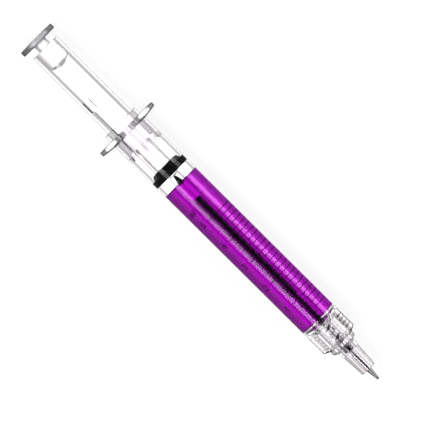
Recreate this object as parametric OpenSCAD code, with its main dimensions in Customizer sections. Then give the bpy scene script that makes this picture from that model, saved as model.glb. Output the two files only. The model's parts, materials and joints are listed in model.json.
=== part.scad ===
// Syringe-shaped retractable ballpoint pen, lying on its side.
// The pen's axis runs along X, from the thumb press at -X to the writing tip at +X.
// The wings of the finger flange lie along Y, and the floor is at Z = 0.
// Places along the pen are stations: distances from the thumb press's outer face.
// Shown with the tip out, latched in the writing position.

/* [Pen] */
// Overall length with the tip out
pen_l = 138; // [130:1:150]
// Outer radius of the barrel, and half the height of the flange and thumb press
body_r = 6; // [5.8:0.1:6.4]
// Radial gap of a running fit between sliding parts
run_gap = 0.08; // [0.05:0.01:0.1]

/* [Barrel] */
// Bore radius of the barrel behind the front seal
barrel_bore_r = 5.2; // [5.1:0.05:5.3]
// Station of the barrel's front end
barrel_front_s = 122.7; // [122:0.1:123]
// Bore radius at the front, where the nose cone's thread goes in
thread_bore_r = 4.05; // [4:0.05:4.2]
// Chamfer on the barrel's front rim, along the pen
front_chamfer = 0.8; // [0.4:0.1:1]

/* [Finger flange] */
// Radius of the flange at its wing tips
wing_r = 10.4; // [9:0.1:12]
// Thickness of the flange plate
flange_t = 1.9; // [1.5:0.1:2.2]
// Station of the flange's rear face
flange_s = 36.1; // [36:0.1:36.2]

/* [Guide sleeve] */
// Radius of the collar behind the flange
collar_r = 5.8; // [5.4:0.1:6]
// Station of the collar's rear face
collar_s = 33.9; // [33:0.1:34.5]
// Station of the sleeve's toothed front end
sleeve_front_s = 44.8; // [44:0.1:46]
// Number of teeth on the sleeve's front end
sleeve_teeth = 4; // [3:1:6]
// Depth of the teeth along the pen
tooth_l = 1.6; // [0.8:0.1:2]

/* [Plunger] */
// Outer radius of the plunger tube
plunger_r = 4.62; // [4.4:0.02:4.66]
// Bore radius of the plunger tube
plunger_bore_r = 3.45; // [3.3:0.05:3.6]
// Station of the plunger tube's rear end
plunger_rear_s = 3.8; // [3.4:0.1:4.2]
// Station of the plunger tube's front end
plunger_front_s = 42.6; // [42:0.1:43]
// Clock angle of the key groove, from straight up towards -Y
key_clock = 38; // [0:1:90]
// Width of the key groove
groove_w = 1.3; // [1:0.1:1.6]
// Depth of the key groove
groove_d = 0.6; // [0.4:0.1:0.8]
// Station where the key groove starts
groove_s = 26.9; // [26:0.1:28]
// Length of the raised latch pad behind the groove
pad_l = 3.9; // [3:0.1:5]
// Width of the latch pad
pad_w = 2.8; // [2:0.1:3.2]

/* [Thumb press] */
// Thickness of the thumb disc
disc_t = 1.5; // [1.2:0.1:2]
// Radius of the neck under the disc
neck_r = 2; // [1.6:0.1:2.6]
// Length of the spigot that plugs the plunger tube
spigot_l = 7.1; // [5:0.1:9]

/* [Click mechanism] */
// Outer radius of the rotor's tube
rotor_r = 3.5; // [3.3:0.1:3.8]
// Bore radius of the rotor's tube
rotor_bore_r = 2.2; // [2:0.1:2.4]
// Station of the rotor's front shoulder
rotor_front_s = 51.5; // [51.4:0.05:51.55]
// Number of fins on the rotor
rotor_fins = 4; // [3:1:6]
// Length of the rotor's fins along the pen
fin_l = 3; // [2:0.1:4]
// Width of the rotor's fins
fin_w = 1.2; // [0.8:0.1:1.6]
// Radius of the push pin that reaches the refill
pin_r = 1.4; // [1.2:0.1:1.5]

/* [Liquid chamber] */
// Station of the rubber plug's rear face
plug_s = 51.6; // [51.6:0.05:51.8]
// Length of the rubber plug
plug_l = 3.3; // [3:0.1:3.6]
// Radius of the plug's rear face, before its rounded shoulder
plug_face_r = 4.4; // [4:0.1:4.8]
// Station of the liquid's surface at its lowest point
liquid_s = 58.5; // [57:0.1:60]
// How far the liquid climbs up the wall
meniscus_l = 1.1; // [0.6:0.1:1.4]
// Station of the front seal's rear face, at the barrel's wall
seal_s = 113.4; // [113:0.1:113.8]
// Length of the front seal, with its dome
seal_t = 1.8; // [1.6:0.1:2]
// Outer radius of the inner tube through the liquid
inner_tube_r = 2.15; // [2.1:0.05:2.3]
// Bore radius of the inner tube
inner_bore_r = 1.8; // [1.75:0.05:1.9]

/* [Scale] */
// Station of the scale's first long tick
scale_s = 71.5; // [70:0.1:73]
// Spacing of the ticks
tick_pitch = 1.685; // [1.5:0.005:1.8]
// Number of ticks
ticks = 24; // [10:1:24]
// Ticks from one long tick to the next
long_every = 5; // [2:1:10]
// Width of a tick along the pen
tick_w = 0.26; // [0.15:0.01:0.4]

/* [Refill] */
// Outer radius of the refill tube
refill_r = 1.5; // [1.4:0.05:1.6]
// Bore radius of the refill tube
refill_bore_r = 1; // [0.9:0.05:1.1]
// Station of the refill tube's rear end
refill_s = 58.5; // [58:0.1:59]
// Station of the refill tube's front shoulder, where the spring bears
refill_front_s = 107.4; // [106:0.1:108]
// Outer radius of the tip holder inside the spring
holder_r = 1; // [0.9:0.02:1.1]
// Bore radius of the tip holder
holder_bore_r = 0.55; // [0.5:0.05:0.6]
// Station of the rear end of the ink
ink_s = 64.5; // [62:0.1:70]
// Radius of the metal tip's body
tip_r = 0.95; // [0.9:0.01:1]
// Station where the tip's cone begins
cone_s = 133.3; // [133:0.1:133.6]
// Radius of the writing ball
ball_r = 0.35; // [0.25:0.05:0.4]

/* [Nose cone] */
// Radius of the nose cone's shoulder
nose_r = 4.35; // [4.2:0.05:4.6]
// Station of the shoulder's rear face
nose_s = 122.8; // [122.75:0.05:123]
// Length of the rounded shoulder
nose_shoulder_l = 2; // [1.6:0.1:2.4]
// Radius of the nozzle at its rear
nozzle_r = 2.95; // [2.8:0.05:3.1]
// Radius of the nozzle at its front
nozzle_tip_r = 2.4; // [2.2:0.05:2.5]
// Station of the nozzle's front end
nozzle_front_s = 134.05; // [133.8:0.05:134.3]
// Radius of the spring's bore in the nose cone
nose_bore_r = 1.95; // [1.9:0.05:2.1]
// Radius of the thread's core
thread_core_r = 3.65; // [3.4:0.05:3.7]

/* [Spring] */
// Radius of the spring wire
wire_r = 0.2; // [0.15:0.01:0.22]
// Radius of the coils, at the middle of the wire
coil_r = 1.43; // [1.35:0.01:1.45]
// Number of turns
coils = 12; // [8:1:14]
// Radial sides of the wire's section
wire_sides = 6; // [6:1:8]
// Points in each turn of the spring
coil_steps = 14; // [12:1:20]

/* [Hidden] */
$fn = 64;
eps = 0.01;
skin = 0.1;
past = 1;
half_l = pen_l / 2;

// Stations that follow from the ones above.
flange_front_s = flange_s + flange_t;
plug_front_s = plug_s + plug_l;
seal_front_s = seal_s + seal_t;
rotor_rear_s = plunger_front_s + skin;
spring_seat_s = 127.8;
spring_front_s = spring_seat_s - 0.05;
spring_rear_s = refill_front_s + 0.05;
tip_body_s = 128.2;

// Flange: its wings thin out towards their tips
flange_bore_r = barrel_bore_r;
wing_round_r = 0.4;
wing_tip_t = 1.3;

// Barrel's front rim
rim_w = 0.45;

// Guide sleeve
sleeve_r = barrel_bore_r;
sleeve_bore_r = plunger_r + run_gap;
key_w = groove_w - 2 * run_gap;
key_d = groove_d - 2 * run_gap;
key_l = flange_s - collar_s;
key_root = 0.3;
tooth_run = 0.7 * sleeve_r;

// Thumb press
disc_edge_r = 0.35;
fillet_r = 0.6;
spigot_r = plunger_bore_r;
spigot_tip_l = 1.2;
spigot_tip_r = 1;

// Latch pad
pad_gap = 0.4;
pad_proud = plunger_r - 0.02;
pad_depth = 1.1;

// Rotor and push pin
fin_s = rotor_rear_s + 0.2;
fin_r = sleeve_bore_r - 0.15;
fin_root = 0.3;
fin_slant = 0.8;
pin_head_l = 4;
pin_front_s = 55.6;

// Rubber plug: the rotor's nose enters its recess when the plunger is over-pressed
plug_recess_r = rotor_r + 0.1;
plug_recess_l = 1.8;
plug_shoulder_l = 1.3;
plug_edge_r = 0.2;

// Knee of the liquid's curved rear surface
knee_w = 0.7;
knee_l = 0.3 * meniscus_l;

// Tail plug of the refill
tail_tip_r = 0.3;
tail_tip_s = 55.7;
tail_spigot_l = 1.4;
tail_head_l = 0.4;

// Follower behind the ink
follower_l = 1.2;

// Tip holder and metal tip
holder_plug_l = 3.4;
tip_shank_l = 1.7;
tip_rim_r = 0.4;
tip_rim_s = pen_l - 0.45;
socket_r = ball_r + 0.01;

// Front seal: how far it bulges towards the nose, and the shape of the bulge
seal_dome_l = 0.8;
dome_knee = 0.75;

// Nose cone
thread_s = 115.6;
thread_pitch = 1.25;
thread_root = 0.1;
thread_crest_r = thread_bore_r - run_gap;
thread_flank_l = 0.44;
thread_crest_l = 0.12;
thread_turns = 5;
nose_rim_l = 0.8;
nose_edge_r = 3.15;
tip_bore_r = tip_r + run_gap;
nozzle_round_r = 0.5;

// Spring's closed end turns
end_turns = 2;
end_gap = 0.02;

// Printed ticks
ink_t = 0.03;
tick_from = 90;
short_arc = 72;
long_arc = 113;

// ---- helpers ----

// Stands its children at a station, with their Z along the pen towards the tip.
module at(station) {
    translate([station - half_l, 0, body_r]) rotate([0, 90, 0]) children();
}

// Turns its children's X side to a clock angle, from straight up towards -Y.
module clock(angle) {
    rotate([0, 0, 180 + angle]) children();
}

// A plain tube from one station to another.
module tube(from_s, to_s, outer_r, inner_r) {
    at(from_s) difference() {
        cylinder(r = outer_r, h = to_s - from_s);
        translate([0, 0, -eps]) cylinder(r = inner_r, h = to_s - from_s + 2 * eps);
    }
}

// A solid turned from a half outline of [radius, station] points.
module turned(outline) {
    at(0) rotate_extrude() polygon(outline);
}

// Points of a quarter round from [r0, s0] to [r1, s1]; bulges away from the axis.
function round_points(r0, s0, r1, s1, steps = 6) = [
    for (i = [0 : steps])
        let (a = 90 * i / steps)
        [r1 + (r0 - r1) * cos(a), s0 + (s1 - s0) * sin(a)]
];

// ---- barrel ----

module outer_barrel() {
    rim_r = thread_bore_r + rim_w;
    color([0.93, 0.95, 0.97, 0.35]) difference() {
        turned(concat(
            [[0, flange_front_s], [body_r, flange_front_s]],
            round_points(body_r, barrel_front_s - front_chamfer, rim_r, barrel_front_s),
            [[0, barrel_front_s]]
        ));
        at(flange_front_s - eps) cylinder(r = barrel_bore_r, h = seal_front_s - flange_front_s + eps);
        at(seal_front_s - eps) cylinder(r = thread_bore_r, h = barrel_front_s - seal_front_s + past);
    }
}

// One printed tick: a thin raised band over part of the barrel's round.
module tick(station, arc) {
    at(station - tick_w / 2) clock(-tick_from)
        rotate_extrude(angle = arc) translate([body_r, 0]) square([ink_t, tick_w]);
}

module graduation_scale() {
    color([0.16, 0.02, 0.2])
        for (i = [0 : ticks - 1])
            tick(scale_s + i * tick_pitch, i % long_every == 0 ? long_arc : short_arc);
}

module finger_flange() {
    color([0.93, 0.95, 0.97, 0.35]) difference() {
        intersection() {
            turned([
                [0, flange_s], [wing_r - wing_round_r, flange_s], [wing_r, flange_s + wing_round_r],
                [wing_r, flange_s + wing_tip_t - wing_round_r], [wing_r - wing_round_r, flange_s + wing_tip_t],
                [body_r + wing_round_r, flange_front_s], [0, flange_front_s]
            ]);
            translate([flange_s - half_l - past, -wing_r - past, 0])
                cube([flange_t + 2 * past, 2 * (wing_r + past), 2 * body_r]);
        }
        at(flange_s - eps) cylinder(r = flange_bore_r, h = flange_t + 2 * eps);
    }
}

// Sloping notches that leave saw teeth on the sleeve's front end.
module sleeve_notches() {
    step = 360 / sleeve_teeth;
    for (i = [0 : sleeve_teeth - 1])
        at(sleeve_front_s - tooth_l) rotate([0, 0, i * step]) rotate([90, 0, 90])
            linear_extrude(height = body_r)
                polygon([[0, 0], [tooth_run, tooth_l + eps], [0, tooth_l + eps]]);
}

module guide_sleeve() {
    color([0.9, 0.93, 0.95, 0.35]) {
        difference() {
            union() {
                at(collar_s) cylinder(r = collar_r, h = flange_s - collar_s);
                at(flange_s - eps) cylinder(r = sleeve_r, h = sleeve_front_s - flange_s + eps);
            }
            at(collar_s - eps) cylinder(r = sleeve_bore_r, h = sleeve_front_s - collar_s + 2 * eps);
            sleeve_notches();
        }
        at(collar_s) clock(key_clock) guide_key();
    }
}

// The key inside the collar that rides in the plunger's groove.
module guide_key() {
    intersection() {
        translate([plunger_r - key_d, -key_w / 2, 0])
            cube([sleeve_bore_r - plunger_r + key_d + key_root, key_w, key_l]);
        cylinder(r = sleeve_bore_r + key_root / 2, h = key_l);
    }
}

module rubber_plug() {
    color([0.05, 0.05, 0.06]) difference() {
        turned([
            [0, plug_s], [plug_face_r - plug_edge_r, plug_s], [plug_face_r, plug_s + plug_edge_r],
            [barrel_bore_r - plug_edge_r, plug_s + plug_shoulder_l - plug_edge_r],
            [barrel_bore_r, plug_s + plug_shoulder_l], [barrel_bore_r, plug_front_s - plug_edge_r],
            [barrel_bore_r - plug_edge_r, plug_front_s], [0, plug_front_s]
        ]);
        at(plug_s - eps) cylinder(r = plug_recess_r, h = plug_recess_l + eps);
        at(plug_s) cylinder(r = inner_tube_r, h = plug_l + past);
    }
}

module inner_tube() {
    color([0.9, 0.93, 0.95, 0.35])
        tube(plug_s + plug_recess_l, seal_front_s, inner_tube_r, inner_bore_r);
}

// The liquid fills the chamber round the inner tube and climbs the wall behind.
module coloured_liquid() {
    wall_s = liquid_s - meniscus_l;
    color([0.63, 0.03, 0.69, 0.75]) difference() {
        turned(concat(
            [[0, liquid_s], [barrel_bore_r - 2 * knee_w, liquid_s]],
            [[barrel_bore_r - knee_w, liquid_s - knee_l], [barrel_bore_r, wall_s]],
            dome_points(seal_s)
        ));
        at(wall_s - past) cylinder(r = inner_tube_r, h = seal_front_s - wall_s + 2 * past);
    }
}

// Half outline of a face that bulges towards the nose, from the barrel's wall to the axis.
function dome_points(wall_s) = [
    [barrel_bore_r, wall_s],
    [(barrel_bore_r + inner_tube_r) / 2, wall_s + dome_knee * seal_dome_l],
    [inner_tube_r, wall_s + seal_dome_l], [0, wall_s + seal_dome_l]
];

// A clear ring that closes the chamber's front, domed towards the nose.
module front_seal() {
    color([0.9, 0.93, 0.95, 0.35]) difference() {
        turned(concat(
            dome_points(seal_front_s - seal_dome_l),
            [for (i = [3 : -1 : 0]) dome_points(seal_s)[i]]
        ));
        at(seal_s) cylinder(r = inner_tube_r, h = seal_t + past);
    }
}

// Thread ridges, drawn as rings on the spigot.
module thread_rings() {
    for (i = [0 : thread_turns - 1])
        let (from_s = thread_s + i * thread_pitch, to_s = from_s + 2 * thread_flank_l + thread_crest_l)
            turned([
                [thread_core_r - thread_root, from_s], [thread_crest_r, from_s + thread_flank_l],
                [thread_crest_r, to_s - thread_flank_l], [thread_core_r - thread_root, to_s]
            ]);
}

module nose_cone() {
    shoulder_front_s = nose_s + nose_shoulder_l;
    color([0.95, 0.93, 0.95, 0.35]) difference() {
        union() {
            at(seal_front_s + skin) cylinder(r = thread_core_r, h = nose_s - seal_front_s);
            thread_rings();
            turned(concat(
                [[0, nose_s], [nose_r, nose_s]],
                round_points(nose_r, nose_s + nose_rim_l, nose_edge_r, shoulder_front_s),
                [[nozzle_r, shoulder_front_s + skin]],
                round_points(nozzle_tip_r, nozzle_front_s - nozzle_round_r,
                    nozzle_tip_r - nozzle_round_r, nozzle_front_s),
                [[0, nozzle_front_s]]
            ));
        }
        at(seal_front_s) cylinder(r = nose_bore_r, h = spring_seat_s - seal_front_s);
        at(seal_front_s) cylinder(r = tip_bore_r, h = nozzle_front_s - seal_front_s + past);
    }
}

// ---- plunger ----

module plunger_tube() {
    color([0.93, 0.95, 0.97, 0.35]) {
        difference() {
            at(plunger_rear_s) cylinder(r = plunger_r, h = plunger_front_s - plunger_rear_s);
            at(plunger_rear_s - eps)
                cylinder(r = plunger_bore_r, h = plunger_front_s - plunger_rear_s + 2 * eps);
            at(groove_s) clock(key_clock) translate([plunger_r - groove_d, -groove_w / 2, 0])
                cube([groove_d + past, groove_w, plunger_front_s - groove_s + past]);
            latch_slot();
        }
        latch_pad();
    }
}

// The U-shaped slot that frees the latch pad, cut through the tube's wall.
module latch_slot() {
    at(groove_s - pad_gap - pad_l) clock(key_clock)
        translate([plunger_bore_r - past, -(pad_w + pad_gap) / 2, 0])
            cube([plunger_r, pad_w + pad_gap, pad_l + pad_gap / 2]);
}

// The latch pad in its slot, joined to the tube at its rear end.
module latch_pad() {
    at(groove_s - pad_gap - pad_l - pad_gap) clock(key_clock)
        intersection() {
            translate([pad_proud - pad_depth, -pad_w / 2, 0]) cube([pad_depth + past, pad_w, pad_l]);
            cylinder(r = pad_proud, h = pad_l);
        }
}

module thumb_press() {
    spigot_s = plunger_rear_s + spigot_l;
    color([0.9, 0.92, 0.94, 0.35]) turned(concat(
        [[0, 0], [body_r - disc_edge_r, 0], [body_r, disc_edge_r], [body_r, disc_t - disc_edge_r]],
        [[body_r - disc_edge_r, disc_t], [neck_r + fillet_r, disc_t], [neck_r, disc_t + fillet_r]],
        [[neck_r, plunger_rear_s], [spigot_r, plunger_rear_s], [spigot_r, spigot_s - spigot_tip_l]],
        [[spigot_tip_r, spigot_s], [0, spigot_s]]
    ));
}

// ---- click mechanism ----

// Fins whose rear ends slope like the sleeve's teeth.
module rotor_fin() {
    translate([rotor_r - fin_root, 0, 0]) rotate([90, 0, 90])
        linear_extrude(height = fin_r - rotor_r + fin_root)
            polygon([[-fin_w / 2, 0], [fin_w / 2, fin_slant], [fin_w / 2, fin_l], [-fin_w / 2, fin_l]]);
}

module cam_rotor() {
    color([0.9, 0.93, 0.95, 0.35]) difference() {
        union() {
            at(rotor_rear_s) cylinder(r = rotor_r, h = rotor_front_s - rotor_rear_s);
            for (i = [0 : rotor_fins - 1])
                at(fin_s) rotate([0, 0, 360 * i / rotor_fins]) intersection() {
                    rotor_fin();
                    cylinder(r = fin_r, h = fin_l);
                }
        }
        at(rotor_rear_s - eps) cylinder(r = rotor_bore_r, h = rotor_front_s - rotor_rear_s + past);
    }
}

module push_pin() {
    color([0.88, 0.9, 0.93, 0.35]) {
        at(rotor_front_s - pin_head_l) cylinder(r = rotor_bore_r, h = pin_head_l);
        at(rotor_front_s - eps) cylinder(r = pin_r, h = pin_front_s - rotor_front_s);
    }
}

// ---- refill ----

module refill_tube() {
    color([0.9, 0.9, 0.92, 0.5]) tube(refill_s, refill_front_s, refill_r, refill_bore_r);
}

module tail_plug() {
    color([0.06, 0.06, 0.07]) turned([
        [0, tail_tip_s], [tail_tip_r, tail_tip_s], [refill_bore_r, refill_s - tail_head_l],
        [refill_bore_r, refill_s + tail_spigot_l], [0, refill_s + tail_spigot_l]
    ]);
}

module ink_follower() {
    color([0.75, 0.75, 0.72, 0.6])
        at(ink_s - follower_l) cylinder(r = refill_bore_r, h = follower_l);
}

module ink_column() {
    color([0.08, 0.01, 0.1]) {
        at(ink_s) cylinder(r = refill_bore_r, h = refill_front_s - holder_plug_l - ink_s);
        at(refill_front_s - holder_plug_l - eps)
            cylinder(r = holder_bore_r, h = tip_body_s - tip_shank_l - refill_front_s + holder_plug_l);
    }
}

module tip_holder() {
    color([0.9, 0.9, 0.92, 0.5])
        tube(refill_front_s - holder_plug_l, tip_body_s, holder_r, holder_bore_r);
}

module metal_tip() {
    color([0.72, 0.7, 0.66]) difference() {
        union() {
            at(tip_body_s - tip_shank_l) cylinder(r = holder_bore_r, h = tip_shank_l + eps);
            turned([
                [0, tip_body_s], [tip_r, tip_body_s], [tip_r, cone_s],
                [tip_rim_r, tip_rim_s], [0, tip_rim_s]
            ]);
        }
        at(pen_l - ball_r) sphere(r = socket_r);
    }
}

module writing_ball() {
    color([0.6, 0.6, 0.62]) at(pen_l - ball_r) sphere(r = ball_r);
}

// ---- spring ----

// Height of the wire at turn t: closed end turns, open turns between them.
function coil_height(t) =
    let (
        pitch_end = 2 * wire_r + end_gap,
        span = spring_front_s - spring_rear_s - 2 * wire_r,
        pitch_open = (span - 2 * end_turns * pitch_end) / (coils - 2 * end_turns)
    )
    t < end_turns ? t * pitch_end
    : t > coils - end_turns ? span - (coils - t) * pitch_end
    : end_turns * pitch_end + (t - end_turns) * pitch_open;

// One point on the wire's skin at turn t and angle b around the wire.
function coil_point(t, b) =
    let (r = coil_r + wire_r * cos(b), a = 360 * t)
    [r * cos(a), r * sin(a), wire_r + coil_height(t) + wire_r * sin(b)];

module return_spring() {
    steps = coils * coil_steps;
    points = [
        for (i = [0 : steps], j = [0 : wire_sides - 1])
            coil_point(i / coil_steps, 360 * j / wire_sides)
    ];
    sides = [
        for (i = [0 : steps - 1], j = [0 : wire_sides - 1])
            let (k = (j + 1) % wire_sides, a = i * wire_sides, b = a + wire_sides)
            [a + j, b + j, b + k, a + k]
    ];
    rear_cap = [[for (j = [0 : wire_sides - 1]) j]];
    front_cap = [[for (j = [wire_sides - 1 : -1 : 0]) steps * wire_sides + j]];
    color([0.7, 0.7, 0.72]) at(spring_rear_s)
        polyhedron(points = points, faces = concat(rear_cap, sides, front_cap));
}

outer_barrel();
graduation_scale();
finger_flange();
guide_sleeve();
rubber_plug();
inner_tube();
coloured_liquid();
front_seal();
nose_cone();
plunger_tube();
thumb_press();
cam_rotor();
push_pin();
refill_tube();
tail_plug();
ink_follower();
ink_column();
tip_holder();
metal_tip();
writing_ball();
return_spring();
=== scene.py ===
"""A clear syringe-shaped ballpoint pen, lying on a pale floor with its tip out.

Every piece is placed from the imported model's own boxes. Along the pen, places are stations: millimetres
from the thumb press's outer face. Round the pen, places are clock angles: degrees from straight up,
positive towards -Y.
"""

import json
import logging
import math
from collections.abc import Callable, Iterable, Sequence
from dataclasses import dataclass
from enum import Enum
from typing import Any

import bmesh
import bpy
from mathutils import Euler, Matrix, Vector

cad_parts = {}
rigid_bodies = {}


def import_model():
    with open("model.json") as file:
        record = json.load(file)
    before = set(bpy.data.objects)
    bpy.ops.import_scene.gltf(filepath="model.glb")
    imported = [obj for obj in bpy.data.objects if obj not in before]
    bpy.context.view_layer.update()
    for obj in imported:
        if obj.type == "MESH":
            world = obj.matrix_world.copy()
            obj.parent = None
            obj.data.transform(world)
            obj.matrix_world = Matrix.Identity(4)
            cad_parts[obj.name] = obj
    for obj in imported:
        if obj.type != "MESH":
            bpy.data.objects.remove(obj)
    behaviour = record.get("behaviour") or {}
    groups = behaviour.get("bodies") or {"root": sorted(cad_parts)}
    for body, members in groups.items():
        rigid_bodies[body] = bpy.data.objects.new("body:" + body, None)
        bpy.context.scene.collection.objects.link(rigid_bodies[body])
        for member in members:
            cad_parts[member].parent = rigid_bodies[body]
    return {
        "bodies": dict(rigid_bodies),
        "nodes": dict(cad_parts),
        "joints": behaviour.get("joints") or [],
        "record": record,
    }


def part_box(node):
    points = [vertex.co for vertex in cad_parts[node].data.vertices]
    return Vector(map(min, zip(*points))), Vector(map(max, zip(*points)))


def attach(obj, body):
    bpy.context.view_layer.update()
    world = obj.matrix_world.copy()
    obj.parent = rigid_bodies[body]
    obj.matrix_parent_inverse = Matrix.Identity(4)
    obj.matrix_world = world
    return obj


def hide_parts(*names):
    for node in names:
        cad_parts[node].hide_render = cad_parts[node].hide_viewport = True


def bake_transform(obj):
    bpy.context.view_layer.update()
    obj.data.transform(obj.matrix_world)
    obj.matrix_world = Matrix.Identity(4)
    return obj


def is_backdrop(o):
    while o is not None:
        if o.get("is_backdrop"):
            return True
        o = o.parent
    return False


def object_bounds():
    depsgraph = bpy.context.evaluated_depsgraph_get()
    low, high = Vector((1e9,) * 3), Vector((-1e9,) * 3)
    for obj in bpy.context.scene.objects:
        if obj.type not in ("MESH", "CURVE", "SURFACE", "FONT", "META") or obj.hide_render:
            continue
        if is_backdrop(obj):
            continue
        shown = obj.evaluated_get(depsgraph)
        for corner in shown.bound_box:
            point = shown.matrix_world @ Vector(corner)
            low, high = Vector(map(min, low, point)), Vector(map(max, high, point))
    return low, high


log = logging.getLogger("pen")

MM = 0.001
NEAR_MM = 0.01  # mesh points closer than this are at the same place
TINY_MM = 1e-6  # computed measures closer than this are equal
Outline = list[tuple[float, float]]
Corner = tuple[float, float, float]
Colour = tuple[float, float, float, float]


# ---------------------------------------------------------------- colour and shader helpers


def srgb(code: str) -> Colour:
    """Turns an sRGB hex code to linear light.

    Args:
        code: Six hex digits after a hash sign.

    Returns:
        Linear red, green, blue and an alpha of 1.
    """
    parts = [int(code[i : i + 2], 16) / 255 for i in (1, 3, 5)]
    linear = [p / 12.92 if p <= 0.04045 else ((p + 0.055) / 1.055) ** 2.4 for p in parts]
    return (linear[0], linear[1], linear[2], 1.0)


def add_node(
    tree: bpy.types.NodeTree,
    kind: str,
    settings: dict[str, Any] | None = None,
    values: dict[str, Any] | None = None,
    links: dict[str, bpy.types.NodeSocket] | None = None,
) -> bpy.types.Node:
    """Adds one shader node.

    Args:
        tree: The node tree that the node goes in.
        kind: The node's type name in Blender.
        settings: Properties of the node itself.
        values: Default values for its input sockets, by socket name.
        links: Output sockets to link into its input sockets, by socket name.

    Returns:
        The new node.
    """
    node = tree.nodes.new(kind)
    for name, value in (settings or {}).items():
        setattr(node, name, value)
    for name, value in (values or {}).items():
        node.inputs[name].default_value = value
    for name, socket in (links or {}).items():
        tree.links.new(socket, node.inputs[name])
    return node


class Space(Enum):
    """How a pattern's coordinates run over a piece."""

    EVEN = (1.0, 1.0, 1.0)
    ALONG_PEN = (0.06, 1.0, 1.0)
    ROUND_PEN = (1.0, 0.04, 0.04)


def pattern(tree: bpy.types.NodeTree, grain_mm: float, space: Space, detail: float) -> Any:
    """Adds a noise pattern whose grain has a real size.

    Args:
        tree: The node tree that the nodes go in.
        grain_mm: The size of one grain of the pattern, in millimetres.
        space: Which way the pattern is drawn out.
        detail: How many finer layers the noise has.

    Returns:
        The noise's grey output socket.
    """
    where = add_node(tree, "ShaderNodeTexCoord")
    drawn = add_node(
        tree,
        "ShaderNodeMapping",
        values={"Scale": space.value},
        links={"Vector": where.outputs["Object"]},
    )
    noise = add_node(
        tree,
        "ShaderNodeTexNoise",
        values={"Scale": 1.0 / (grain_mm * MM), "Detail": detail},
        links={"Vector": drawn.outputs["Vector"]},
    )
    return noise.outputs["Fac"]


def uneven(
    tree: bpy.types.NodeTree,
    grain_mm: float,
    low: float,
    high: float,
    space: Space = Space.EVEN,
    detail: float = 2.0,
) -> Any:
    """Gives a value that drifts between two limits from grain to grain of a surface.

    Args:
        tree: The node tree that the nodes go in.
        grain_mm: The size of one grain, in millimetres.
        low: The value where the grain's pattern is dark.
        high: The value where it is light.
        space: Which way the grain is drawn out.
        detail: How many finer layers the grain has.

    Returns:
        The value's output socket.
    """
    drift = add_node(
        tree,
        "ShaderNodeMapRange",
        values={"From Min": 0.3, "From Max": 0.7, "To Min": low, "To Max": high},
        links={"Value": pattern(tree, grain_mm, space, detail)},
    )
    return drift.outputs["Result"]


def relief(
    tree: bpy.types.NodeTree,
    grain_mm: float,
    depth_mm: float,
    strength: float,
    space: Space = Space.EVEN,
    detail: float = 2.0,
) -> Any:
    """Gives a surface a shallow relief with a grain of a real size.

    Args:
        tree: The node tree that the nodes go in.
        grain_mm: The size of one grain, in millimetres.
        depth_mm: The depth of the relief, in millimetres.
        strength: How much of it shows, from 0 to 1.
        space: Which way the grain is drawn out.
        detail: How many finer layers the grain has.

    Returns:
        The normal output socket.
    """
    bump = add_node(
        tree,
        "ShaderNodeBump",
        values={"Strength": strength, "Distance": depth_mm * MM},
        links={"Height": pattern(tree, grain_mm, space, detail)},
    )
    return bump.outputs["Normal"]


# ---------------------------------------------------------------- kinds of finish


@dataclass(frozen=True)
class Finish:
    """What every finish has: a name, its colours and how it is made.

    Attributes:
        name: The material's name, after the real material and process.
        colour: The main colour, as sRGB hex.
        slot: The record's material slot that it stands for; not used.
    """

    name: str
    colour: str
    slot: str

    def material(self) -> bpy.types.Material:
        """Builds the finish's Blender material on first use.

        Returns:
            The material.
        """
        made = bpy.data.materials.get(self.name)
        if made is None:
            made = bpy.data.materials.new(self.name)
            made.use_nodes = True
            made.node_tree.nodes.clear()
            shader = self.shader(made.node_tree)
            add_node(
                made.node_tree,
                "ShaderNodeOutputMaterial",
                links={"Surface": shader.outputs["BSDF"]},
            )
        return made

    def shader(self, tree: bpy.types.NodeTree) -> bpy.types.Node:
        """Adds the finish's shader nodes; each finish has its own.

        Args:
            tree: The material's node tree.

        Returns:
            The Principled node.
        """
        raise NotImplementedError


@dataclass(frozen=True)
class MouldedPolystyrene(Finish):
    """Polystyrene, injection moulded in a polished tool: water clear, glossy and hard-edged.

    Attributes:
        ior: Refractive index of the plastic.
        rough_low: Roughness where the tool was polished best.
        rough_high: Roughness where handling has dulled it.
        haze_mm: Size of the patches that handling leaves.
        ripple_mm: Length of the flow ripples left by moulding.
        ripple: How much of the ripples shows.
    """

    ior: float = 1.5
    rough_low: float = 0.001
    rough_high: float = 0.006
    haze_mm: float = 3.0
    ripple_mm: float = 6.0
    ripple: float = 0.004

    def shader(self, tree: bpy.types.NodeTree) -> bpy.types.Node:
        """Adds clear plastic with faint flow ripples and a little handling haze.

        Args:
            tree: The material's node tree.

        Returns:
            The Principled node.
        """
        haze = uneven(tree, self.haze_mm, self.rough_low, self.rough_high)
        ripples = relief(tree, self.ripple_mm, 0.02, self.ripple, Space.ALONG_PEN)
        return add_node(
            tree,
            "ShaderNodeBsdfPrincipled",
            values={
                "Base Color": srgb(self.colour),
                "IOR": self.ior,
                "Transmission Weight": 1.0,
            },
            links={"Roughness": haze, "Normal": ripples},
        )


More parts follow.
